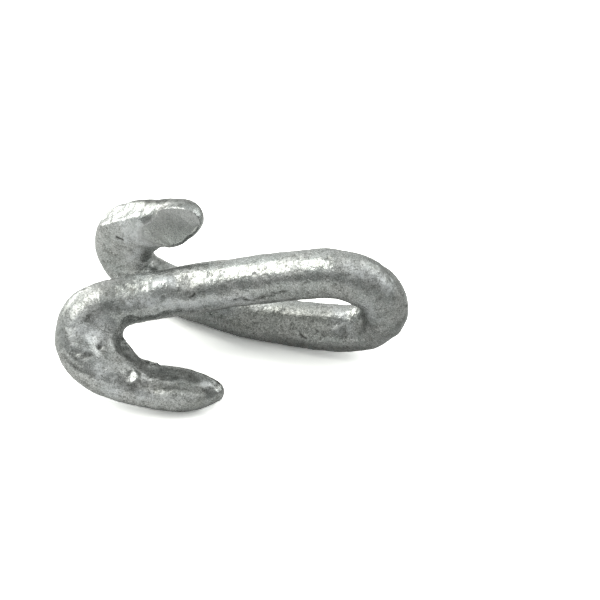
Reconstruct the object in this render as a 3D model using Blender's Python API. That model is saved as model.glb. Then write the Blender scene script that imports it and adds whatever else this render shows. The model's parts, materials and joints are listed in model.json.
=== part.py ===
"""Open lap link: one bar of round steel, galvanised after bending.

A round bar is bent once round a U-bend, runs out in two legs, and each leg
ends in a hook whose finger turns back towards the bend.  Each finger carries
a lap flat, so that the two hooks lie against each other, flat to flat, when
the link has been closed.  It is drawn open, as supplied, resting on a table.

Frame: +X from the hooks towards the U-bend, +Z up, origin at the middle of
the bounding box's underside.  Worked in millimetres, finished in metres.
"""

import math
from collections import namedtuple

import bmesh
import bpy
from mathutils import Matrix, Vector

# ------------------------------------------------- dimensions, in millimetres
TO_METRES = 0.001            # applied to the finished meshes
BAR_R = 12.7 / 2             # 1/2 in bar

# Pose of the bar at the apex of the U-bend: it runs up, and bends towards -X
APEX = Vector((21.3, -25.1, 21.4))
APEX_TURN = (14.0, -4.5, -11.0)      # degrees about X, then Y, then Z

# The link is worked from the apex outwards.  The upper half ends in the hook
# that lies on the table, the lower half in the hook that stands up.
U_BEND_R = 12.5                      # centreline radius
UPPER_U_BEND, LOWER_U_BEND = 104.0, 88.0    # degrees turned on each side
UPPER_LEG = (54.5, -19.0, 24.0)      # length, then degrees of bow in the
LOWER_LEG = (57.0, 6.0, 23.0)        # plane of the U-bend and out of it
UPPER_HOOK_TURN, LOWER_HOOK_TURN = 59.0, 12.0   # hook's plane about its leg

# Both hooks are bent round the same former: centreline radius and degrees
HOOK_ENTRY = (17.2, 15.0)
CROWN_NEAR = (6.8, 75.0)
CROWN_FAR = (11.5, 57.0)
UPPER_FINGER = (27.5, 21.0)          # length, degrees curled in
LOWER_FINGER = (23.0, -8.0)          # curled out

# Largest spacing of stations: in the legs, and everywhere else
LEG_STEP = 3.2
BEND_STEP = 1.75

# Drawn-down fingertips: each ends in half an ellipsoid this long
UPPER_TAPER = 19.0
LOWER_TAPER = 13.0
NOSE = 2.65                          # last, straight stretch of the nose
NOSE_STEPS = (1.70, 0.95, 0.42, 0.10)       # left to its end

# The steel gathers on the inside of each crown: a smaller bend nested in it
GATHER_R = 7.6                       # its centreline radius
GATHER_BAR_R = 5.0
GATHER_SHIFT = 5.75                  # how far inside the crown's centreline
GATHER_STEPS = 9                     # stations in each half of it
GATHER_TAIL = 4.0                    # its run-out into the leg and the finger
GATHER_TAIL_STATIONS = ((0.33, 0.96), (0.67, 0.86), (1.0, 0.72))
                                     # share of the run-out, share of the radius
GATHER_SINK = 0.6                    # share of the way its ends sink to the
                                     # bar's centreline

# Lap flats: one plane across each finger, square to the plane of its hook but
# sinking towards the tip
LAP_LENGTH = 16.5                    # from the tip
LAP_SLOPE = math.radians(18)         # to the finger's axis
LAP_LEAD_IN = 1.0                    # cutter starts this far short of the flat
LAP_OVERRUN = 3.0                    # cutter's length beyond that of the flat
LAP_CUTTER_HEIGHT = 0.95 * BAR_R

# Dressed facet along the top of the finger of the upper half
FACET_NORMAL = Vector((0.0, 0.17, 0.985))
FACET_DEPTH = 0.50 * BAR_R           # from the finger's axis out to the facet
FACET_LENGTH = 20.5
FACET_STEP = math.radians(55)        # slope of the step at its end
FACET_OVERRUN = 3.0                  # cutter past the tip
STEP_LEAD_IN = 0.5                   # step cutter starts below the facet
STEP_OVERRUN = 1.5                   # its length beyond that of the step
FACET_CUTTER_HEIGHT = 0.7 * BAR_R

CUTTER_WIDTH = 2.1 * BAR_R           # a little wider than the bar

# Meshing
BAR_RESOLUTION, GATHER_RESOLUTION = 8, 6    # bevel resolution of the sections
WELD_DISTANCE = 1e-4
SHARP_ANGLE = math.radians(35)

# stage of the schedule, position, direction of travel, inward normal
Station = namedtuple("Station", "stage point along inward")


# ------------------------------------------------------------------- helpers
def clear_scene():
    for obj in list(bpy.data.objects):
        bpy.data.objects.remove(obj, do_unlink=True)


def collection(name, hidden=False):
    group = bpy.data.collections.new(name)
    group.hide_render = hidden
    bpy.context.scene.collection.children.link(group)
    return group


def rotated(vector, axis, degrees):
    return Matrix.Rotation(math.radians(degrees), 3, axis) @ vector


def squared(vector, axis):
    """The unit direction of vector once made square to axis."""
    return (vector - axis * vector.dot(axis)).normalized()


def evaluated_mesh(obj):
    """A new mesh of the object with its modifiers applied."""
    bpy.context.view_layer.update()
    graph = bpy.context.evaluated_depsgraph_get()
    return bpy.data.meshes.new_from_object(obj.evaluated_get(graph))


def as_cutter(obj):
    obj.display_type = "WIRE"
    obj.hide_render = True
    return obj


def swept(name, course, group, resolution):
    """A round body along a course of (point, radius), as one closed mesh."""
    curve = bpy.data.curves.new(name + "_path", "CURVE")
    curve.dimensions = "3D"
    curve.bevel_depth = BAR_R
    curve.bevel_resolution = resolution
    curve.use_fill_caps = True
    spline = curve.splines.new("POLY")
    spline.points.add(len(course) - 1)
    for place, (point, radius) in zip(spline.points, course):
        place.co = (*point, 1.0)
        place.radius = radius / BAR_R
    path = bpy.data.objects.new(name + "_path", curve)
    group.objects.link(path)
    mesh = evaluated_mesh(path)
    bpy.data.objects.remove(path, do_unlink=True)

    work = bmesh.new()
    work.from_mesh(mesh)
    bmesh.ops.remove_doubles(work, verts=work.verts, dist=WELD_DISTANCE)
    bmesh.ops.recalc_face_normals(work, faces=work.faces)
    work.to_mesh(mesh)
    work.free()
    mesh.name = name
    obj = bpy.data.objects.new(name, mesh)
    group.objects.link(obj)
    return obj


def block(name, start, axes, size, group):
    """A cutter block.  From start it spans size[0] along the first axis, half
    of size[1] to each side along the second, and size[2] along the third."""
    work = bmesh.new()
    bmesh.ops.create_cube(work, size=1.0)
    centre = start + axes[0] * size[0] / 2 + axes[2] * size[2] / 2
    edges = [axis * length for axis, length in zip(axes, size)]
    basis = Matrix(edges).transposed().to_4x4()
    bmesh.ops.transform(work, matrix=Matrix.Translation(centre) @ basis, verts=work.verts)
    bmesh.ops.recalc_face_normals(work, faces=work.faces)
    mesh = bpy.data.meshes.new(name)
    work.to_mesh(mesh)
    work.free()
    obj = bpy.data.objects.new(name, mesh)
    group.objects.link(obj)
    return as_cutter(obj)


def boolean(target, other, operation):
    modifier = target.modifiers.new(f"{operation.lower()}_{other.name}", "BOOLEAN")
    modifier.solver = "EXACT"
    modifier.operation = operation
    modifier.object = other


# ------------------------------------------------------------ line of the bar
def apex_frame():
    """Direction of travel and inward normal at the apex."""
    along, inward = Vector((0, 0, 1)), Vector((-1, 0, 0))
    for axis, degrees in zip("XYZ", APEX_TURN):
        along = rotated(along, axis, degrees)
        inward = rotated(inward, axis, degrees)
    return along, inward


def half_schedule(u_bend, leg, hook_turn, finger):
    """One half of the bar as (stage, length, bend in its plane, bend out of
    it, roll of the plane before the stage), in millimetres and degrees."""
    def arc(stage, radius, degrees, roll=0.0):
        return stage, radius * math.radians(degrees), degrees, 0.0, roll

    return (
        arc("u_bend", U_BEND_R, u_bend),
        ("leg", *leg, 0.0),
        arc("hook_entry", *HOOK_ENTRY, hook_turn),
        arc("crown_near", *CROWN_NEAR),
        arc("crown_far", *CROWN_FAR),
        ("finger", *finger, 0.0, 0.0),
    )


def walk(point, along, inward, schedule):
    """Stations of one half of the bar, from the apex out to the fingertip."""
    stations = []
    for stage, length, bend, side, roll in schedule:
        inward = rotated(inward, along, roll)
        turn = math.hypot(bend, side)
        towards = (inward * bend + along.cross(inward) * side) / turn
        axis = along.cross(towards)
        radius = length / math.radians(turn)
        step = LEG_STEP if stage == "leg" else BEND_STEP
        count = max(2, math.ceil(length / step))
        for i in range(1, count + 1):
            turned = turn * (i / count)
            angle = math.radians(turned)
            ahead = along * radius * math.sin(angle)
            aside = towards * radius * (1 - math.cos(angle))
            stations.append(Station(
                stage,
                point + ahead + aside,
                rotated(along, axis, turned),
                rotated(inward, axis, turned),
            ))
        _, point, along, inward = stations[-1]
    return stations


def tip_radius(from_end, taper):
    share = min(1.0, from_end / taper)
    return BAR_R * math.sqrt(1 - (1 - share) ** 2)


def nose_course(station, taper):
    """The round nose past the last station, as (point, radius)."""
    return [
        (station.point + station.along * (NOSE - left), tip_radius(left, taper))
        for left in NOSE_STEPS
    ]


def bar_course(upper, lower):
    """The whole bar from the lower tip to the upper, as (point, radius)."""
    points = [s.point for s in lower[::-1]] + [APEX] + [s.point for s in upper]
    distances = [0.0]
    for before, after in zip(points, points[1:]):
        distances.append(distances[-1] + (after - before).length)
    radii = [
        min(tip_radius(distance + NOSE, LOWER_TAPER),
            tip_radius(distances[-1] - distance + NOSE, UPPER_TAPER))
        for distance in distances
    ]
    lower_nose = nose_course(lower[-1], LOWER_TAPER)
    upper_nose = nose_course(upper[-1], UPPER_TAPER)
    return lower_nose[::-1] + list(zip(points, radii)) + upper_nose


# ------------------------------------------------------- features of the hooks
def is_crown(station):
    return station.stage.startswith("crown")


def finger_frame(stations):
    """Tip point, direction and outward side of a lap flat on the finger.  The
    flat is square to the plane of the hook, on the same hand for both."""
    tip = stations[-1]
    finger = [s for s in stations if s.stage == "finger"]
    crown_start = next(s for s in stations if is_crown(s))
    along = (tip.point - finger[len(finger) // 2].point).normalized()
    inward = squared(crown_start.point - finger[0].point, along)
    return tip.point + tip.along * NOSE, along, -along.cross(inward)


def lap_flat(target, name, frame, group):
    """Planes the lap flat, open on the outward side of the finger frame."""
    tip, along, outward = frame
    sinking = along * math.cos(LAP_SLOPE) - outward * math.sin(LAP_SLOPE)
    normal = outward * math.cos(LAP_SLOPE) + along * math.sin(LAP_SLOPE)
    start = tip - along * LAP_LENGTH + outward * BAR_R - sinking * LAP_LEAD_IN
    size = (LAP_LENGTH / math.cos(LAP_SLOPE) + LAP_OVERRUN, CUTTER_WIDTH, LAP_CUTTER_HEIGHT)
    cutter = block(name, start, (sinking, normal.cross(sinking), normal), size, group)
    boolean(target, cutter, "DIFFERENCE")


def facet(target, name, tip, along, group):
    """Planes the facet level along the finger, up to a steep step."""
    outward = squared(FACET_NORMAL, along)
    back = -along
    across = outward.cross(back)

    start = tip + along * FACET_OVERRUN + outward * FACET_DEPTH
    size = (FACET_LENGTH + FACET_OVERRUN, CUTTER_WIDTH, FACET_CUTTER_HEIGHT)
    level = block(name + "_level", start, (back, across, outward), size, group)
    boolean(target, level, "DIFFERENCE")

    rising = back * math.cos(FACET_STEP) + outward * math.sin(FACET_STEP)
    normal = outward * math.cos(FACET_STEP) - back * math.sin(FACET_STEP)
    start = tip + back * FACET_LENGTH + outward * FACET_DEPTH - rising * STEP_LEAD_IN
    step_length = (BAR_R - FACET_DEPTH) / math.sin(FACET_STEP)
    size = (step_length + STEP_OVERRUN, CUTTER_WIDTH, FACET_CUTTER_HEIGHT)
    step = block(name + "_step", start, (rising, across, normal), size, group)
    boolean(target, step, "DIFFERENCE")


def gathered(target, name, stations, group):
    """Joins on the smaller bend nested inside a crown, square to the bisector
    of the bar before and after it.  Its ends sink towards the bar's middle."""
    crown = [i for i, s in enumerate(stations) if is_crown(s)]
    before, after = stations[:crown[0]], stations[crown[-1] + 1:]
    arriving, leaving = before[-1].along, after[1].along
    bisector = (leaving - arriving).normalized()
    middle = min((stations[i] for i in crown), key=lambda s: abs(s.along.dot(bisector)))
    lateral = squared(middle.along, bisector)
    centre = middle.point + bisector * (GATHER_SHIFT + GATHER_R)
    half = arriving.angle(leaving) / 2

    def half_course(sign, side):
        """From the middle of the bend out to its end in the given stations."""
        course = []
        for i in range(GATHER_STEPS + 1):
            angle = half * i / GATHER_STEPS
            point = (centre - bisector * GATHER_R * math.cos(angle)
                     + lateral * sign * GATHER_R * math.sin(angle))
            course.append((point, GATHER_BAR_R))
        heading = bisector * math.sin(half) + lateral * sign * math.cos(half)
        end = course[-1][0]
        for share, radius_share in GATHER_TAIL_STATIONS:
            ahead = end + heading * GATHER_TAIL * share
            nearest = min(side, key=lambda s: (s.point - ahead).length)
            sunk = ahead.lerp(nearest.point, GATHER_SINK * share)
            course.append((sunk, GATHER_BAR_R * radius_share))
        return course

    # Both halves start at the same middle point: the first drops its own
    course = half_course(-1, before)[:0:-1] + half_course(1, after)
    body = as_cutter(swept(name, course, group, GATHER_RESOLUTION))
    boolean(target, body, "UNION")


# ------------------------------------------------------------------- finishing
def zinc():
    material = bpy.data.materials.new("zinc_coating")
    material.use_nodes = True
    inputs = material.node_tree.nodes["Principled BSDF"].inputs
    # Dull mid-grey metal
    for name, value in {
        "Base Color": (0.46, 0.47, 0.46, 1.0),
        "Metallic": 0.85,
        "Roughness": 0.48,
    }.items():
        inputs[name].default_value = value
    return material


def finish(bar, cutters):
    """Applies the cuts and moves bar and cutters so that the bar's box stands
    on the origin, in metres."""
    mesh = evaluated_mesh(bar)
    bar.modifiers.clear()
    bar.data = mesh
    low, high = (
        Vector([extreme(v.co[i] for v in mesh.vertices) for i in range(3)])
        for extreme in (min, max)
    )
    base = Vector(((low.x + high.x) / 2, (low.y + high.y) / 2, low.z))
    placing = Matrix.Scale(TO_METRES, 4) @ Matrix.Translation(-base)
    for obj in (bar, *cutters.objects):
        obj.data.transform(placing)
    mesh.materials.clear()
    mesh.materials.append(zinc())
    mesh.shade_smooth()
    mesh.set_sharp_from_angle(angle=SHARP_ANGLE)


# --------------------------------------------------------------------- build
def build():
    clear_scene()
    part = collection("open_lap_link")
    cutters = collection("cutters", hidden=True)

    along, inward = apex_frame()
    upper = walk(APEX, along, inward,
                 half_schedule(UPPER_U_BEND, UPPER_LEG, UPPER_HOOK_TURN, UPPER_FINGER))
    lower = walk(APEX, -along, inward,
                 half_schedule(LOWER_U_BEND, LOWER_LEG, LOWER_HOOK_TURN, LOWER_FINGER))
    bar = swept("link_bar", bar_course(upper, lower), part, BAR_RESOLUTION)

    upper_frame = finger_frame(upper)
    lap_flat(bar, "upper_lap", upper_frame, cutters)
    lap_flat(bar, "lower_lap", finger_frame(lower), cutters)
    upper_tip, upper_heading, _ = upper_frame
    facet(bar, "facet", upper_tip, upper_heading, cutters)
    gathered(bar, "upper_gather", upper, cutters)
    gathered(bar, "lower_gather", lower, cutters)
    finish(bar, cutters)


build()
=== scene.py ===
"""Looks of the open lap link: hot-dip galvanised round bar on a pale table.

+Z is up, +X is right and -Y is the front. Two legs run along X from a U-bend at the right.
The upper leg's hook comes down to the table in front; the lower leg's hook stands up behind.
The skin is shaped in millimetres and turned to metres at the end.
"""
import json
import math

import bpy
import numpy as np
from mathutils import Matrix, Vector, noise
from mathutils.bvhtree import BVHTree
from mathutils.kdtree import KDTree


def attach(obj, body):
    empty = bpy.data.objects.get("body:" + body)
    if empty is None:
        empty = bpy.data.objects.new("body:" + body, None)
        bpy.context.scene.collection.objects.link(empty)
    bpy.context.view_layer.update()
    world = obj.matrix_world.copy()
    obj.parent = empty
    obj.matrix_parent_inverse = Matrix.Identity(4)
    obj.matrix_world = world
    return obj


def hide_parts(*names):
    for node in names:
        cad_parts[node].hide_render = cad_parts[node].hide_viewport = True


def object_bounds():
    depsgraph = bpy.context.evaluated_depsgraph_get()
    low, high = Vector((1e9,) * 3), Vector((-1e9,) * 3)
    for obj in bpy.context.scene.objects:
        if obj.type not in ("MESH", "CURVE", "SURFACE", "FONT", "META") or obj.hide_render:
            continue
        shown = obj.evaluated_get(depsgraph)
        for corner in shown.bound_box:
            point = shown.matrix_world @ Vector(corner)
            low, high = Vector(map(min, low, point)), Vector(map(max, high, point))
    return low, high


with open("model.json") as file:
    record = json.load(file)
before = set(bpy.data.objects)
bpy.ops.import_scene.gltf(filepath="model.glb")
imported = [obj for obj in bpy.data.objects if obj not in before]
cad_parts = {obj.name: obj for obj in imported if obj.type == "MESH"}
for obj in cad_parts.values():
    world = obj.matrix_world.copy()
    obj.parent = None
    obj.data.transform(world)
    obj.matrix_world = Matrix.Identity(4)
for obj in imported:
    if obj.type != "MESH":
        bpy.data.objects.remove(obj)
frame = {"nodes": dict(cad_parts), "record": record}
cad_low, cad_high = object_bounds()
MM = 1000.0           # millimetres in a metre
VOXEL = 0.36          # grain of the body mesh, mm
RIM_STEP = 0.3        # spacing of points along the rims of the flats, mm
PATH_STEP = 0.8       # spacing of points along a line on the skin, mm
PIT_COUNT = 420
FLOOR_HALF = 3.0      # half the side of the table, m
FLOOR_GAIN = 2.4      # table colour seen by the camera, past white


# ------------------------------------------------------------ fine body mesh
def cad_arrays():
    """Points (mm) and triangles of the CAD bar."""
    mesh = frame["nodes"]["link_bar"].data
    mesh.calc_loop_triangles()
    points = np.empty(len(mesh.vertices) * 3, np.float32)
    mesh.vertices.foreach_get("co", points)
    triangles = np.empty(len(mesh.loop_triangles) * 3, np.int32)
    mesh.loop_triangles.foreach_get("vertices", triangles)
    return points.reshape(-1, 3).astype(float) * MM, triangles.reshape(-1, 3)


def remeshed(points, triangles):
    mesh = bpy.data.meshes.new("coarse")
    mesh.from_pydata(points, [], triangles)
    mesh.update()
    obj = bpy.data.objects.new("coarse", mesh)
    bpy.context.scene.collection.objects.link(obj)
    weld = obj.modifiers.new("weld", "WELD")
    weld.merge_threshold = 0.0005
    remesh = obj.modifiers.new("remesh", "REMESH")
    remesh.mode = "VOXEL"
    remesh.voxel_size = VOXEL
    bpy.context.view_layer.update()
    graph = bpy.context.evaluated_depsgraph_get()
    fine = bpy.data.meshes.new_from_object(obj.evaluated_get(graph))
    bpy.data.objects.remove(obj)
    return fine


class Skin:
    """The body mesh as arrays: places in mm, and layers of grime, painted shade and painted sheen
    from 0 to 1.
    """

    def __init__(self, mesh):
        self.mesh = mesh
        count = len(mesh.vertices)
        co = np.empty(count * 3, np.float32)
        mesh.vertices.foreach_get("co", co)
        self.co = co.reshape(-1, 3).astype(float)
        edges = np.empty(len(mesh.edges) * 2, np.int32)
        mesh.edges.foreach_get("vertices", edges)
        self.edges = edges.reshape(-1, 2)
        self.soil = np.zeros(count)
        self.bloom = np.zeros(count)
        self.satin = np.zeros(count)

    def smooth(self, times, weight):
        """Moves each point towards the mean of its neighbours, where weight is above 0."""
        ends = self.edges[weight[self.edges].max(axis=1) > 0]
        local, ends = np.unique(ends, return_inverse=True)
        a, b = ends.reshape(-1, 2).T
        count = len(local)
        co = self.co[local]
        neighbours = np.maximum(np.bincount(np.concatenate([a, b]), minlength=count), 1)
        pull = (weight[local] / neighbours)[:, None]
        keep = 1 - weight[local][:, None]
        for _ in range(times):
            total = np.stack([np.bincount(a, co[b, i], count) + np.bincount(b, co[a, i], count)
                              for i in range(3)], 1)
            co = co * keep + total * pull
        self.co[local] = co

    def write(self, unit=1.0):
        self.mesh.vertices.foreach_set("co", (self.co / unit).astype(np.float32).ravel())
        self.mesh.update()

    def normals(self):
        self.write()
        out = np.empty(len(self.mesh.vertices) * 3, np.float32)
        self.mesh.vertices.foreach_get("normal", out)
        return out.reshape(-1, 3).astype(float)


def smoothstep(x, low, high):
    t = np.clip((x - low) / (high - low), 0, 1)
    return t * t * (3 - 2 * t)


def field(co, scale, seed, octaves=1):
    """Smooth noise about 0, at wavelength scale mm."""
    shift = Vector((seed * 17.3, seed * 5.1, seed * 11.7))
    out = np.empty(len(co))
    for i, point in enumerate(co):
        spot_in_noise = Vector(point) / scale + shift
        out[i] = noise.noise(spot_in_noise)
        if octaves > 1:
            out[i] += 0.5 * noise.noise(spot_in_noise * 2.1 + shift)
    return out


def distance_to_path(co, path):
    """Distance from each point to a polyline, and the share along it."""
    best = np.full(len(co), 1e9)
    share = np.zeros(len(co))
    for i, (start, end) in enumerate(zip(path[:-1], path[1:])):
        start, end = np.array(start), np.array(end)
        span = end - start
        t = np.clip((co - start) @ span / max(span @ span, 1e-9), 0, 1)
        gap = np.linalg.norm(co - start - t[:, None] * span, axis=1)
        near = gap < best
        best[near] = gap[near]
        share[near] = (i + t[near]) / (len(path) - 1)
    return best, share


def flat_rim_points():
    """Points along the rims of the flats: edges that only one triangle of a flat uses."""
    corners = cad_points[cad_triangles]
    facing = np.cross(corners[:, 1] - corners[:, 0], corners[:, 2] - corners[:, 0])
    facing /= np.maximum(np.linalg.norm(facing, axis=1), 1e-12)[:, None]
    points = []
    for pos, axis in flats:
        on = (facing @ axis > 0.999) & (np.abs((corners - pos) @ axis).max(1) < 0.02)
        uses = {}
        for triangle in corners[on]:
            for k in range(3):
                a = tuple(np.round(triangle[k], 2))
                b = tuple(np.round(triangle[(k + 1) % 3], 2))
                if a != b:
                    edge = (min(a, b), max(a, b))
                    uses[edge] = uses.get(edge, 0) + 1
        for (a, b), count in uses.items():
            if count == 1:
                a, b = np.array(a), np.array(b)
                steps = max(1, int(np.linalg.norm(b - a) / RIM_STEP))
                points += [a + (b - a) * s / steps for s in range(steps + 1)]
    return points


cad_points, cad_triangles = cad_arrays()
cad_lists = [tuple(p) for p in cad_points], [tuple(int(i) for i in t) for t in cad_triangles]
skin = Skin(remeshed(*cad_lists))
cad_tree = BVHTree.FromPolygons(*cad_lists)

# The first two mounts in the record are flats (place, axis); their rims keep more edge
flats = [(np.array(m["pos_m"]) * MM, np.array(m["axis"])) for m in frame["record"]["mounts"][:2]]
rim_points = flat_rim_points()
rim_tree = KDTree(len(rim_points))
for i, point in enumerate(rim_points):
    rim_tree.insert(Vector(point), i)
rim_tree.balance()
rim_gap = np.array([rim_tree.find(Vector(p))[2] for p in skin.co])
skin.smooth(times=4, weight=np.full(len(skin.co), 0.5))
skin.smooth(times=22, weight=0.5 * smoothstep(rim_gap, 0.3, 1.8))


# --------------------------------------------------------- tools for the skin
# Lines and spots are given as (x, y, z) shares of the CAD box; other lengths are in mm.
def place(share):
    return Vector([(cad_low[i] + (cad_high[i] - cad_low[i]) * s) * MM
                   for i, s in enumerate(share)])


def on_skin(share):
    """The place on the part's surface nearest to a share of its box."""
    return np.array(cad_tree.find_nearest(place(share))[0])


def line_gap(shares):
    """Distance of each skin point from a line laid on the surface, and the share along it."""
    line = [on_skin(share) for share in shares]
    path = []
    for a, b in zip(line[:-1], line[1:]):
        steps = max(1, int(np.linalg.norm(b - a) / PATH_STEP))
        for k in range(steps):
            path.append(np.array(cad_tree.find_nearest(Vector(a + (b - a) * k / steps))[0]))
    return distance_to_path(skin.co, path + [line[-1]])


def raise_layer(layer, near, amount):
    layer[near] = np.maximum(layer[near], amount)


def stroke(shares, height=0.0, width=1.0, crest=False, soil=0.0, bloom=0.0, satin=0.0,
           reach=0.6, ragged=0.0, fade=0.15, way=None):
    """Raises (height below 0: sinks) the skin along a line, and lays grime, painted shade, painted
    sheen and satin on it within reach.

    It moves along the skin's normals, or one given way. fade is the share eased at each end.
    """
    gap, share = line_gap(shares)
    near = np.where(gap < 4 * max(width, reach))[0]
    gap, share = gap[near], share[near]
    if ragged:
        gap = np.abs(gap + ragged * field(skin.co[near], 1.3, 31 + len(shares), 2))
    ends = 1.0
    if fade:
        ends = smoothstep(share, -0.001, fade) * (1 - smoothstep(share, 1 - fade, 1.001))
    g = gap / width
    shape = np.exp(-g) if crest else np.exp(-g * g)
    out = normal[near] if way is None else np.array(way)
    skin.co[near] += out * (height * shape * ends)[:, None]
    if soil:
        raise_layer(skin.soil, near, soil * ends * np.exp(-(gap / reach) ** 2))
    if bloom:
        patchy = np.clip(0.75 + 0.8 * field(skin.co[near], 2.4, 77, 2), 0, 1)
        raise_layer(skin.bloom, near, bloom * ends * patchy * np.exp(-(gap / reach) ** 2))
    if satin:
        raise_layer(skin.satin, near, satin * ends * np.exp(-(gap / reach) ** 4))


def soften(shares, reach, times):
    """Eases the skin within reach of a line on it."""
    gap, _ = line_gap(shares)
    skin.smooth(times, 0.5 * (1 - smoothstep(gap, 0.6 * reach, reach)))


def dress(front, back, lift, reach, amount):
    """Flattens the skin towards the plane through two lines, the front one raised by lift."""
    raised = []
    for share in front:
        point, way = cad_tree.find_nearest(place(share))[:2]
        raised.append(np.array(point + way * lift))
    rear = [on_skin(share) for share in back]
    points = np.array(raised + rear)
    centre = points.mean(axis=0)
    axis = np.linalg.svd(points - centre)[2][2]
    away = (skin.co - centre) @ axis
    gap, _ = distance_to_path(skin.co, [(a + b) / 2 for a, b in zip(raised, rear)])
    weight = amount * (1 - smoothstep(gap, 0.7 * reach, reach))
    weight = weight * (1 - smoothstep(np.abs(away), 1.8, 2.6))
    skin.co -= axis * (away * weight)[:, None]


def flush(flat, shares, reach):
    """Carries a flat out to the edge of the bar along a line on the skin."""
    pos, axis = flat
    above = (skin.co - pos) @ axis
    gap, _ = line_gap(shares)
    weight = (1 - smoothstep(gap, 0.75 * reach, reach)) * (1 - smoothstep(-above, 1.6, 2.4))
    skin.co -= axis * (above * weight)[:, None]


def spot(share, height, radius, soil=0.0):
    """A ragged round bump, or a pit where height is below 0."""
    gap = np.linalg.norm(skin.co - on_skin(share), axis=1) / radius
    near = np.where(gap < 3.2)[0]
    g = np.abs(gap[near] + 0.45 * field(skin.co[near], 0.9 * radius + 0.3, 57, 2))
    skin.co[near] += normal[near] * (height * np.exp(-g * g))[:, None]
    if soil:
        raise_layer(skin.soil, near, soil * np.exp(-(g / 0.9) ** 2))


# -------------------------------------------------------- softened and dressed
# The facet of the finger on the table runs out softly towards the throat
soften([(0.202, 0.154, 0.408), (0.214, 0.117, 0.372), (0.231, 0.083, 0.351)], reach=5.5, times=60)
soften([(0.244, 0.154, 0.336), (0.250, 0.110, 0.300), (0.258, 0.045, 0.280)], reach=6.5, times=420)
soften([(0.246, 0.043, 0.311), (0.288, 0.050, 0.263), (0.335, 0.050, 0.250), (0.385, 0.050, 0.235),
        (0.429, 0.058, 0.205), (0.460, 0.076, 0.165)], reach=3.6, times=90)
soften([(0.232, 0.719, 0.500), (0.235, 0.770, 0.372)], reach=3.4, times=80)
# The raised crown is flattened on top, and the lap flat runs out to its rim
dress(front=[(0.125, 0.797, 0.637), (0.170, 0.754, 0.725), (0.210, 0.714, 0.795),
             (0.259, 0.690, 0.880)],
      back=[(0.139, 0.886, 0.693), (0.181, 0.855, 0.765), (0.229, 0.813, 0.832),
            (0.261, 0.771, 0.891)], lift=0.9, reach=3.6, amount=0.85)
flush(flats[0], [(0.304, 0.661, 0.956), (0.331, 0.653, 0.982), (0.356, 0.647, 0.997),
                 (0.382, 0.632, 0.991), (0.396, 0.618, 0.966), (0.404, 0.610, 0.926)], reach=2.1)

# ------------------------------------------------- lumps and runs in the zinc
on_flat = np.zeros(len(skin.co))
for pos, axis in flats:
    off_plane = np.abs((skin.co - pos) @ axis)
    within = np.linalg.norm(skin.co - pos, axis=1)
    on_flat = np.maximum(on_flat, (1 - smoothstep(off_plane, 0.1, 0.5))
                         * (1 - smoothstep(within, 10, 13)))
calm = 1 - 0.75 * on_flat
normal = skin.normals()
relief = (0.055 * field(skin.co, scale=2.0, seed=3, octaves=2)
          + 0.035 * field(skin.co, scale=0.95, seed=4))
lumps = (0.34 * field(skin.co, scale=11.0, seed=1)
         + 0.20 * field(skin.co, scale=4.6, seed=2) + relief)
skin.co += normal * (lumps * calm)[:, None]

# ------------------------------------------------------- marks along the bar
# Edge between the top and the front of the raised crown
stroke([(0.095, 0.833, 0.540), (0.114, 0.812, 0.611), (0.138, 0.783, 0.663), (0.170, 0.754, 0.725),
        (0.202, 0.725, 0.778), (0.234, 0.694, 0.831), (0.259, 0.683, 0.887)],
       height=0.8, width=1.4, crest=True, ragged=0.3)
# Painted shade along the rim of the lap flat, where it steps down, and a darker line along its lower
# edge
stroke([(0.244, 0.676, 0.837), (0.265, 0.664, 0.885), (0.277, 0.671, 0.919), (0.298, 0.671, 0.951),
        (0.331, 0.666, 0.984), (0.356, 0.662, 0.998), (0.380, 0.650, 0.985)],
       height=-0.12, width=0.6, soil=0.7, reach=0.5, ragged=0.3)
stroke([(0.263, 0.652, 0.782), (0.278, 0.646, 0.760), (0.303, 0.630, 0.740),
        (0.326, 0.617, 0.728)], height=-0.06, width=0.7, soil=0.22)
# Pinch on the upper leg before its hook
stroke([(0.262, 0.352, 0.696), (0.300, 0.362, 0.712), (0.345, 0.372, 0.726)],
       height=0.7, width=2.8, fade=0.3)
stroke([(0.369, 0.338, 0.691), (0.385, 0.372, 0.738), (0.392, 0.400, 0.745)],
       height=-0.35, width=2.2, fade=0.3)
# Darker top of the upper leg towards its hook, dimming the highlight there
stroke([(0.130, 0.317, 0.667), (0.162, 0.351, 0.683), (0.202, 0.372, 0.692),
        (0.244, 0.385, 0.702)], soil=0.40, reach=3.8, ragged=0.8, fade=0.2)
# Painted shade in the dent beside the pinch
stroke([(0.369, 0.350, 0.700), (0.400, 0.345, 0.705), (0.430, 0.345, 0.715)],
       soil=0.28, reach=1.8, ragged=0.6)
# The dressed facet ends below in a groove, darkened with painted shade, and the steel in front of it
# bulges
stroke([(0.238, 0.042, 0.312), (0.297, 0.051, 0.264), (0.330, 0.057, 0.254), (0.363, 0.057, 0.246),
        (0.397, 0.050, 0.238), (0.429, 0.054, 0.205), (0.462, 0.068, 0.157)],
       height=-0.55, width=1.5, soil=0.6, reach=1.9, ragged=0.5)
stroke([(0.276, 0.011, 0.242), (0.317, 0.010, 0.226), (0.358, 0.013, 0.203), (0.399, 0.021, 0.172),
        (0.434, 0.037, 0.140)], height=0.25, width=1.6, satin=0.7, soil=0.10, reach=3.0, ragged=0.4)
# Painted shade on the facet, which faces up under the upper leg and mirrors its dark underside
stroke([(0.270, 0.156, 0.244), (0.313, 0.135, 0.238), (0.355, 0.122, 0.231), (0.398, 0.101, 0.225),
        (0.435, 0.079, 0.222)], soil=0.38, reach=3.4, ragged=0.5)
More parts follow.
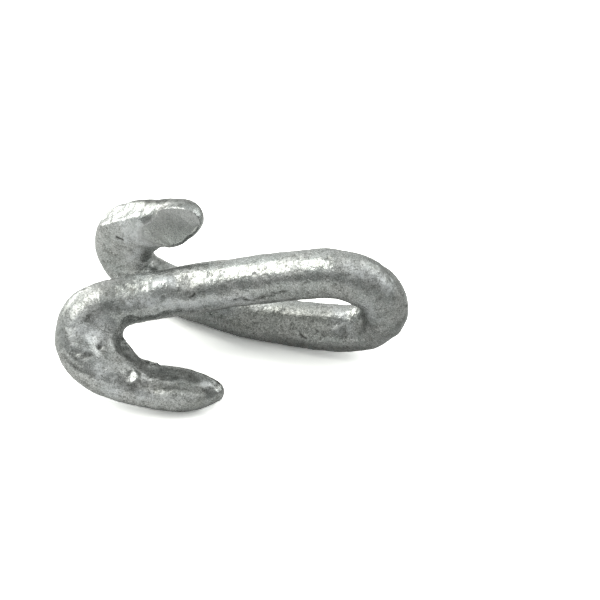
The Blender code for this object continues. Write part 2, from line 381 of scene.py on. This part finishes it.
# Throat of the lower hook
throat = [(0.210, 0.265, 0.404), (0.223, 0.236, 0.400), (0.238, 0.212, 0.380),
          (0.250, 0.190, 0.345)]
stroke(throat, height=-1.3, width=3.4, fade=0.2)
soften([(0.196, 0.265, 0.425)] + throat + [(0.262, 0.180, 0.270)], reach=5.5, times=70)
stroke([(0.194, 0.250, 0.434), (0.206, 0.220, 0.420), (0.220, 0.190, 0.400)],
       height=-1.1, width=3.0, fade=0.2)
stroke([(0.190, 0.235, 0.433), (0.200, 0.212, 0.425), (0.210, 0.195, 0.412)],
       height=-0.8, width=2.6, fade=0.2)
stroke([(0.222, 0.293, 0.466), (0.242, 0.299, 0.468), (0.262, 0.305, 0.472)],
       height=0.6, width=2.4, fade=0.45)
soften([(0.194, 0.275, 0.442), (0.204, 0.290, 0.450), (0.222, 0.295, 0.464)], reach=3.8, times=160)
stroke([(0.250, 0.180, 0.285), (0.262, 0.188, 0.245), (0.280, 0.186, 0.236),
        (0.298, 0.183, 0.232)], height=1.0, width=2.2, fade=0.3)
soften([(0.175, 0.190, 0.455), (0.196, 0.160, 0.415), (0.214, 0.135, 0.385),
        (0.236, 0.125, 0.345)], reach=4.2, times=90)
# Grime and painted shade on the throat and the root of the finger, under the upper leg
stroke([(0.172, 0.170, 0.440), (0.190, 0.135, 0.405), (0.210, 0.102, 0.368)],
       soil=0.42, reach=2.4, ragged=0.6, fade=0.25)
stroke([(0.168, 0.207, 0.473), (0.185, 0.178, 0.435), (0.207, 0.142, 0.402), (0.226, 0.120, 0.366),
        (0.262, 0.170, 0.245)], soil=0.34, reach=4.0, ragged=0.6)
# Top of the lower leg, where the coating is coarser and paler
stroke([(0.473, 0.520, 0.253), (0.532, 0.491, 0.266), (0.582, 0.472, 0.284), (0.634, 0.458, 0.302),
        (0.692, 0.436, 0.314), (0.749, 0.414, 0.326), (0.800, 0.396, 0.334)],
       satin=1.0, reach=4.4, ragged=0.5, fade=0.12)
# Grime and painted shade on the lower hook's crown, dimming its highlight
stroke([(0.131, 0.142, 0.441), (0.163, 0.142, 0.406), (0.192, 0.120, 0.386),
        (0.215, 0.079, 0.357)], soil=0.42, reach=4.0, ragged=0.8)
# The bar is fuller outside the U-bend, behind the facet and in the lower hook's mouth
stroke([(0.957, 0.323, 0.770), (0.975, 0.296, 0.662), (0.983, 0.292, 0.538),
        (0.978, 0.292, 0.430)], height=0.5, width=4.0, fade=0.3)
stroke([(0.829, 0.338, 0.959), (0.862, 0.335, 0.938), (0.895, 0.332, 0.901),
        (0.929, 0.324, 0.845)], height=0.6, width=3.5, fade=0.3)
stroke([(0.215, 0.281, 0.502), (0.243, 0.289, 0.508), (0.277, 0.298, 0.513),
        (0.313, 0.306, 0.519)], height=0.45, width=2.0, fade=0.3)
stroke([(0.269, 0.178, 0.239), (0.311, 0.172, 0.229), (0.353, 0.166, 0.220),
        (0.396, 0.145, 0.215)], height=0.4, width=2.6, fade=0.3)
spot((0.468, 0.080, 0.150), height=0.9, radius=2.2)
# The U-bend's outer limb is fuller still, and painted shade dims it
stroke([(0.983, 0.293, 0.563), (0.977, 0.284, 0.522), (0.970, 0.278, 0.479), (0.959, 0.280, 0.424),
        (0.946, 0.280, 0.379), (0.930, 0.291, 0.319)],
       height=0.9, width=3.6, soil=0.2, reach=3.0, ragged=0.3, fade=0.3)
# Fuller edges of the raised hook, and painted shade along its back
stroke([(0.386, 0.695, 0.973), (0.397, 0.680, 0.966), (0.409, 0.654, 0.947), (0.409, 0.637, 0.943),
        (0.409, 0.621, 0.905)], height=0.8, width=4.4, fade=0.0, way=(0.86, -0.24, 0.45))
stroke([(0.290, 0.630, 0.705), (0.326, 0.617, 0.733), (0.350, 0.608, 0.751),
        (0.378, 0.618, 0.775)], height=0.75, width=2.4, fade=0.3, way=(-0.04, -0.13, -0.99))
stroke([(0.170, 0.875, 0.745), (0.195, 0.866, 0.769), (0.227, 0.832, 0.818),
        (0.270, 0.760, 0.905)], height=0.6, width=2.6, fade=0.35)
stroke([(0.195, 0.872, 0.765), (0.227, 0.836, 0.818), (0.261, 0.775, 0.891), (0.293, 0.733, 0.948),
        (0.330, 0.712, 0.978)], soil=0.8, reach=1.5, ragged=0.5, fade=0.1)
# Throat and leg below the raised hook
soften([(0.224, 0.718, 0.501), (0.246, 0.726, 0.482), (0.246, 0.786, 0.353),
        (0.262, 0.800, 0.337)], reach=4.6, times=200)
stroke([(0.276, 0.790, 0.335), (0.290, 0.782, 0.333), (0.305, 0.772, 0.331),
        (0.330, 0.758, 0.330)], height=-1.0, width=2.6, fade=0.35)
# Painted shade on the leg, under the raised finger
stroke([(0.246, 0.770, 0.360), (0.262, 0.795, 0.335), (0.280, 0.775, 0.334),
        (0.305, 0.760, 0.331)], soil=0.5, reach=2.6, ragged=0.3, fade=0.2)
# Painted shade, dimming highlights and mirroring the floor's shadow: near the table, round the lower
# hook, round the lap flat, on the U-bend, on the left
for line, soil, reach, ragged in (
        ([(0.575, 0.437, 0.151), (0.692, 0.386, 0.140), (0.778, 0.355, 0.147),
          (0.864, 0.330, 0.173), (0.930, 0.320, 0.230)], 0.32, 2.6, 0.4),
        ([(0.056, 0.305, 0.624), (0.041, 0.245, 0.576), (0.037, 0.188, 0.508),
          (0.054, 0.136, 0.450)], 0.34, 3.8, 0.9),
        ([(0.308, 0.717, 0.963), (0.352, 0.694, 0.991), (0.386, 0.679, 0.983),
          (0.405, 0.676, 0.946), (0.412, 0.641, 0.929)], 0.45, 1.7, 0.5),
        ([(0.855, 0.330, 0.944), (0.892, 0.323, 0.905), (0.923, 0.313, 0.850),
          (0.945, 0.305, 0.800)], 0.28, 1.4, 0.6),
        ([(0.046, 0.265, 0.595), (0.074, 0.300, 0.639), (0.101, 0.321, 0.662)], 0.27, 2.6, 0.8)):
    stroke(line, soil=soil, reach=reach, ragged=ragged)
# Painted sheen: paler, less metallic zinc where highlights and floor reflections fall: line, reach
for line, reach in (
        ([(0.082, 0.192, 0.537), (0.104, 0.186, 0.510), (0.121, 0.212, 0.501)], 4.2),
        ([(0.133, 0.074, 0.380), (0.155, 0.043, 0.321), (0.175, 0.023, 0.242)], 2.6),
        ([(0.248, 0.009, 0.227), (0.317, 0.005, 0.206), (0.385, 0.019, 0.186)], 1.8),
        ([(0.227, 0.676, 0.770), (0.239, 0.660, 0.738), (0.239, 0.669, 0.659)], 3.4),
        ([(0.229, 0.682, 0.634), (0.218, 0.718, 0.527), (0.203, 0.742, 0.444)], 2.4),
        ([(0.874, 0.238, 0.671), (0.887, 0.254, 0.581)], 2.4),
        ([(0.218, 0.299, 0.631), (0.274, 0.308, 0.629), (0.329, 0.311, 0.624)], 1.8),
        ([(0.342, 0.307, 0.587), (0.412, 0.312, 0.597), (0.483, 0.313, 0.622),
          (0.553, 0.307, 0.655)], 1.9),
        ([(0.801, 0.421, 0.353), (0.821, 0.386, 0.348), (0.830, 0.365, 0.338)], 2.0),
        ([(0.420, 0.098, 0.220), (0.436, 0.090, 0.214)], 1.0),
        ([(0.190, 0.725, 0.738), (0.220, 0.678, 0.716), (0.235, 0.681, 0.626)], 2.6),
        ([(0.830, 0.288, 0.935), (0.868, 0.282, 0.903), (0.903, 0.280, 0.860),
          (0.934, 0.279, 0.794)], 1.7),
        ([(0.480, 0.518, 0.262), (0.520, 0.516, 0.288), (0.561, 0.513, 0.308),
          (0.605, 0.516, 0.322)], 1.5),
        ([(0.184, 0.728, 0.640), (0.206, 0.705, 0.640)], 1.6),
        ([(0.300, 0.362, 0.712), (0.335, 0.368, 0.722)], 1.8)):
    stroke(line, bloom=0.85, reach=reach, ragged=0.8, fade=0.0)
# Crease between the lower leg and the U-bend, with painted shade in it, and the crest beside it
stroke([(0.863, 0.236, 0.699), (0.866, 0.319, 0.493), (0.859, 0.327, 0.375),
        (0.835, 0.330, 0.264)], height=-0.7, width=1.6, soil=0.18, reach=1.8)
stroke([(0.847, 0.436, 0.403), (0.843, 0.381, 0.391), (0.835, 0.358, 0.342)],
       height=0.5, width=1.6, crest=True)
# Cracks and scratches in the zinc
stroke([(0.485, 0.315, 0.611), (0.525, 0.309, 0.652), (0.558, 0.310, 0.635), (0.586, 0.302, 0.670),
        (0.614, 0.295, 0.706), (0.645, 0.288, 0.741), (0.673, 0.280, 0.768)],
       height=-0.12, width=0.45, soil=0.75, reach=0.28, ragged=0.9)
stroke([(0.402, 0.328, 0.679), (0.388, 0.319, 0.648)],
       height=-0.35, width=0.55, soil=0.95, reach=0.5, fade=0.1)
stroke([(0.153, 0.749, 0.619), (0.165, 0.734, 0.620), (0.180, 0.721, 0.620)],
       height=-0.35, width=0.5, soil=0.95, reach=0.45, fade=0.1)
stroke([(0.689, 0.390, 0.234), (0.700, 0.381, 0.220), (0.712, 0.375, 0.210)],
       height=-0.25, width=0.4, soil=0.9, reach=0.35, fade=0.1)
stroke([(0.037, 0.158, 0.462), (0.066, 0.128, 0.453), (0.094, 0.113, 0.439),
        (0.127, 0.111, 0.424)], height=-0.25, width=0.7, soil=0.45, ragged=0.5)
stroke([(0.023, 0.157, 0.403), (0.059, 0.102, 0.384), (0.094, 0.072, 0.358)],
       height=-0.2, width=0.7, soil=0.35, reach=0.7, ragged=0.5)
# Pits and two beads: place, height, radius, grime
for mark in (
        ((0.513, 0.312, 0.632), -0.30, 0.55, 0.9), ((0.136, 0.160, 0.443), -0.50, 0.75, 0.95),
        ((0.648, 0.482, 0.323), -0.25, 0.7, 0.45), ((0.310, 0.323, 0.660), -0.22, 0.6, 0.6),
        ((0.098, 0.225, 0.570), -0.25, 0.8, 0.55), ((0.569, 0.307, 0.647), -0.2, 0.4, 0.7),
        ((0.818, 0.351, 0.298), -0.25, 1.4, 0.45), ((0.689, 0.373, 0.923), -0.2, 0.5, 0.4),
        ((0.768, 0.334, 0.964), -0.22, 0.5, 0.6), ((0.429, 0.058, 0.209), -0.2, 0.8, 0.4),
        ((0.174, 0.051, 0.336), -0.2, 0.8, 0.4), ((0.269, 0.648, 0.770), -0.18, 0.4, 0.6),
        ((0.182, 0.719, 0.665), -0.2, 0.4, 0.6), ((0.108, 0.800, 0.334), -0.2, 0.6, 0.6),
        ((0.823, 0.263, 0.908), -0.2, 0.6, 0.4), ((0.496, 0.436, 0.800), -0.15, 0.4, 0.5),
        ((0.617, 0.295, 0.723), -0.2, 0.4, 0.6), ((0.985, 0.300, 0.610), 0.7, 0.5, 0.7),
        ((0.472, 0.110, 0.180), 0.45, 0.5, 0.4)):
    spot(*mark)
# A nick at the head of the groove: a small facet turned to the key light, with a painted highlight on
# it
stroke([(0.226, 0.065, 0.342), (0.237, 0.061, 0.331), (0.247, 0.055, 0.320)],
       height=0.3, width=0.9, fade=0.2)
nick_place = on_skin((0.236, 0.062, 0.332))
nick = skin.co[np.argmin(np.linalg.norm(skin.co - nick_place, axis=1))]
nick_gap = np.linalg.norm(skin.co - nick, axis=1)
tilt = np.array((-0.265, -0.392, 0.881))   # the way the nick faces
flatten = 1 - smoothstep(nick_gap, 1.3, 2.0)
skin.co -= tilt * (((skin.co - nick) @ tilt) * flatten)[:, None]
skin.soil *= smoothstep(nick_gap, 1.1, 2.1)
skin.bloom *= smoothstep(nick_gap, 1.1, 2.1)
# Painted highlight: paler, less metallic colour on the nick
skin.bloom += 0.35 * (1 - smoothstep(nick_gap, 1.0, 1.7))
# Scattered small pits all over
scatter = np.random.default_rng(7)
for index in scatter.choice(len(skin.co), PIT_COUNT, replace=False):
    gap = np.linalg.norm(skin.co - skin.co[index], axis=1)
    radius = scatter.uniform(0.25, 0.6)
    near = np.where(gap < 3 * radius)[0]
    g = gap[near] / radius
    depth = scatter.uniform(0.05, 0.2)
    skin.co[near] -= normal[near] * (depth * np.exp(-g * g) * calm[near])[:, None]
    raise_layer(skin.soil, near, scatter.uniform(0.1, 0.6) * np.exp(-g * g) * calm[near])

mesh = skin.mesh
mesh.name = "link_body"
# Layers for the material: grime with painted shade, painted sheen, satin, the flats, and lump height
# for painted shade in the hollows
for name, values in (("soil", skin.soil), ("bloom", skin.bloom), ("satin", skin.satin),
                     ("flat", on_flat), ("relief", relief * calm * 14)):
    layer = mesh.attributes.new(name, "FLOAT", "POINT")
    layer.data.foreach_set("value", values.astype(np.float32))
skin.write(unit=MM)
mesh.shade_smooth()
body = bpy.data.objects.new("link_body", mesh)
bpy.context.scene.collection.objects.link(body)


# ----------------------------------------------------------------- materials
class Shading:
    """Short ways to add nodes to a material or world; inputs are sockets or values."""

    def __init__(self, owner):
        owner.use_nodes = True
        self.nodes = owner.node_tree.nodes
        self.links = owner.node_tree.links

    def add(self, kind):
        return self.nodes.new("ShaderNode" + kind)

    def feed(self, socket, value):
        if isinstance(value, bpy.types.NodeSocket):
            self.links.new(value, socket)
        else:
            socket.default_value = value

    def ramp(self, value, span, to=(0.0, 1.0)):
        """Carries span smoothly over to another range."""
        node = self.add("MapRange")
        node.interpolation_type = "SMOOTHSTEP"
        for name, number in zip(("From Min", "From Max", "To Min", "To Max"), span + to):
            node.inputs[name].default_value = number
        self.feed(node.inputs["Value"], value)
        return node.outputs["Result"]

    def mix(self, factor, a, b):
        node = self.add("Mix")
        node.data_type = "RGBA"
        for index, value in ((0, factor), (6, a), (7, b)):
            self.feed(node.inputs[index], value)
        return node.outputs[2]

    def maths(self, kind, a, b):
        node = self.add("Math")
        node.operation = kind
        self.feed(node.inputs[0], a)
        self.feed(node.inputs[1], b)
        return node.outputs[0]


def galvanised():
    mat = bpy.data.materials.new("zinc_coating_fine")
    shading = Shading(mat)
    ramp, mix, maths = shading.ramp, shading.mix, shading.maths
    shader = shading.nodes["Principled BSDF"]
    where = shading.add("TexCoord").outputs["Object"]

    def texture(*numbers):
        node = shading.add("TexNoise")
        for name, number in zip(("Scale", "Detail", "Roughness", "Distortion"), numbers):
            node.inputs[name].default_value = number
        shading.feed(node.inputs["Vector"], where)
        return node.outputs["Fac"]

    def attribute(name):
        node = shading.add("Attribute")
        node.attribute_name = name
        return node.outputs["Fac"]

    def part(name, share):
        return maths("MULTIPLY", attribute(name), share)

    # Noises: scale per metre, detail, roughness, distortion
    broad = texture(130, 3, 0.6, 0)
    patch = texture(430, 4, 0.65, 0.4)
    grain = texture(1700, 3, 0.65, 0.3)
    fine = texture(3600, 2, 0.6, 0)
    dimple = texture(1250, 1, 0.5, 0.5)
    veins = texture(820, 3, 0.6, 0.9)

    # Colour, each line laid over the one before
    hollow_shade_depth = attribute("relief")
    web = maths("ABSOLUTE", maths("SUBTRACT", veins, 0.5), 0.0)
    webbed = maths("ADD", ramp(patch, (0.46, 0.60), to=(0.10, 0.75)), part("satin", 0.5))
    webbed = maths("MINIMUM", webbed, 0.85)
    grainy = maths("MULTIPLY", ramp(grain, (0.52, 0.62), to=(0.0, 0.8)),
                   ramp(broad, (0.40, 0.62), to=(0.45, 1.0)))
    tone = (0.41, 0.435, 0.425, 1)
    for factor, colour in (
            (ramp(broad, (0.36, 0.66)), (0.52, 0.525, 0.515, 1)),
            (ramp(patch, (0.52, 0.70), to=(0.0, 0.45)), (0.33, 0.335, 0.32, 1)),
            (ramp(patch, (0.46, 0.30), to=(0.0, 0.5)), (0.62, 0.63, 0.64, 1)),
            # Painted shade: darker in the hollows of the lumps
            (ramp(hollow_shade_depth, (-0.08, -0.5), to=(0.0, 0.45)), (0.24, 0.24, 0.225, 1)),
            # Painted sheen: paler, bluish colour standing in for highlights and floor reflections
            (part("bloom", 0.85), (0.80, 0.83, 0.86, 1)),
            (part("satin", 0.45), (0.70, 0.70, 0.65, 1)),
            (grainy, (0.16, 0.165, 0.155, 1)),
            (ramp(fine, (0.56, 0.64), to=(0.0, 0.55)), (0.20, 0.205, 0.195, 1)),
            (ramp(fine, (0.45, 0.36), to=(0.0, 0.7)), (0.88, 0.89, 0.88, 1)),
            (maths("MULTIPLY", ramp(web, (0.045, 0.010)), webbed), (0.13, 0.135, 0.125, 1)),
            (part("flat", 0.7), (0.46, 0.465, 0.465, 1)),
            # Near black: grime in pits and cracks, and painted shade in creases, throats and over
            # dimmed highlights
            (attribute("soil"), (0.05, 0.05, 0.045, 1))):
        tone = mix(factor, tone, colour)
    shading.feed(shader.inputs["Base Color"], tone)

    # Painted sheen and satin make the zinc less metallic
    dull = maths("ADD", part("bloom", 0.75), part("satin", 0.12))
    shading.feed(shader.inputs["Metallic"], maths("SUBTRACT", 1.0, dull))
    rough = maths("ADD", ramp(grain, (0.3, 0.7), to=(-0.05, 0.08)),
                  ramp(broad, (0.35, 0.65), to=(0.22, 0.29)))
    rough = maths("ADD", rough, part("soil", 0.3))
    rough = maths("ADD", rough, part("satin", 0.12))
    shading.feed(shader.inputs["Roughness"], rough)

    # Bumps, calmer on the flats
    bump = shading.add("Bump")
    bump.inputs["Strength"].default_value = 0.9
    bump.inputs["Distance"].default_value = 0.00008
    small = maths("ADD", maths("MULTIPLY", dimple, 1.0), maths("MULTIPLY", grain, 0.35))
    height = maths("ADD", maths("MULTIPLY", patch, 1.3), small)
    height = maths("MULTIPLY", height, maths("SUBTRACT", 1.0, part("flat", 0.7)))
    shading.feed(bump.inputs["Height"], height)
    shading.feed(shader.inputs["Normal"], bump.outputs["Normal"])
    return mat


def paper():
    """White past exposure to the camera; the metal mirrors a grey that darkens to the right, painted
    shade where the light falls off.
    """
    mat = bpy.data.materials.new("paper")
    shading = Shading(mat)
    sheet = shading.nodes["Principled BSDF"]
    sheet.inputs["Roughness"].default_value = 0.9
    sheet.inputs["Specular IOR Level"].default_value = 0.1
    across = shading.add("SeparateXYZ")
    shading.feed(across.inputs[0], shading.add("TexCoord").outputs["Object"])
    shade = shading.ramp(across.outputs["X"], (-0.08, 0.12), to=(0.74, 0.38))
    seen = shading.add("LightPath").outputs["Is Camera Ray"]
    tone = shading.mix(seen, shade, (FLOOR_GAIN, FLOOR_GAIN, FLOOR_GAIN, 1))
    shading.feed(sheet.inputs["Base Color"], tone)
    return mat


mesh.materials.append(galvanised())
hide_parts("link_bar")
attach(body, "root")

# --------------------------------------------------------------------- stage
floor_mesh = bpy.data.meshes.new("floor")
floor_corners = [(x * FLOOR_HALF, y * FLOOR_HALF, 0) for x, y in ((-1, -1), (1, -1), (1, 1), (-1, 1))]
floor_mesh.from_pydata(floor_corners, [], [(0, 1, 2, 3)])
floor = bpy.data.objects.new("floor", floor_mesh)
floor.location.z = cad_low.z
bpy.context.scene.collection.objects.link(floor)
floor_mesh.materials.append(paper())


def at(elevation, azimuth):
    """Direction in degrees: azimuth 0 is the front (-Y), 90 the right (+X)."""
    e, a = math.radians(elevation), math.radians(azimuth)
    return Vector((math.sin(a) * math.cos(e), -math.cos(a) * math.cos(e), math.sin(e)))


def area_light(name, direction, width, height, power):
    light = bpy.data.lights.new(name, "AREA")
    light.shape = "RECTANGLE"
    light.size, light.size_y = width, height
    light.energy = power
    light.color = (1.0, 1.0, 0.93)
    obj = bpy.data.objects.new(name, light)
    direction = direction.normalized()
    obj.location = direction * 1.2   # distance, m
    obj.rotation_euler = direction.to_track_quat("Z", "Y").to_euler()
    bpy.context.scene.collection.objects.link(obj)


area_light("key", at(62, -95), width=1.0, height=0.44, power=4.6)
area_light("low_left", at(13, -134), width=0.65, height=0.5, power=3.0)

world = bpy.data.worlds.new("studio")
bpy.context.scene.world = world
room = Shading(world)
view = room.add("TexCoord").outputs["Generated"]


def lobe(towards, start, strength):
    """Light that swells towards one direction of the room."""
    dot = room.add("VectorMath")
    dot.operation = "DOT_PRODUCT"
    dot.inputs[1].default_value = towards.normalized()
    room.feed(dot.inputs[0], view)
    return room.ramp(dot.outputs["Value"], (start, 0.97), to=(0.0, strength))


level = lobe(at(15, -165), start=0.50, strength=0.50)           # back wall
for glow in (lobe(at(20, -115), start=0.50, strength=0.50),     # left wall
             lobe(at(36, 110), start=0.74, strength=1.4),       # right wall
             lobe(at(72, -85), start=0.55, strength=0.55),      # ceiling
             0.36):                                             # even light all round
    level = room.maths("ADD", level, glow)
background = room.nodes["Background"]
room.feed(background.inputs["Strength"], level)
background.inputs["Color"].default_value = (0.98, 1.0, 0.975, 1)

bpy.context.scene.view_settings.view_transform = "Standard"

# The camera stands in front of the link and above it, looking down
camera = bpy.data.cameras.new("camera")
camera.lens, camera.sensor_width = 100.44, 36.0
camera.clip_start, camera.clip_end = 0.01, 20
eye = bpy.data.objects.new("camera", camera)
centre = (cad_low + cad_high) / 2
eye.location = (centre.x + 0.01727, centre.y - 0.31986, cad_low.z + 0.30999)
eye.rotation_euler = (math.radians(90 - 42.64), 0, 0)
bpy.context.scene.collection.objects.link(eye)
bpy.context.scene.camera = eye
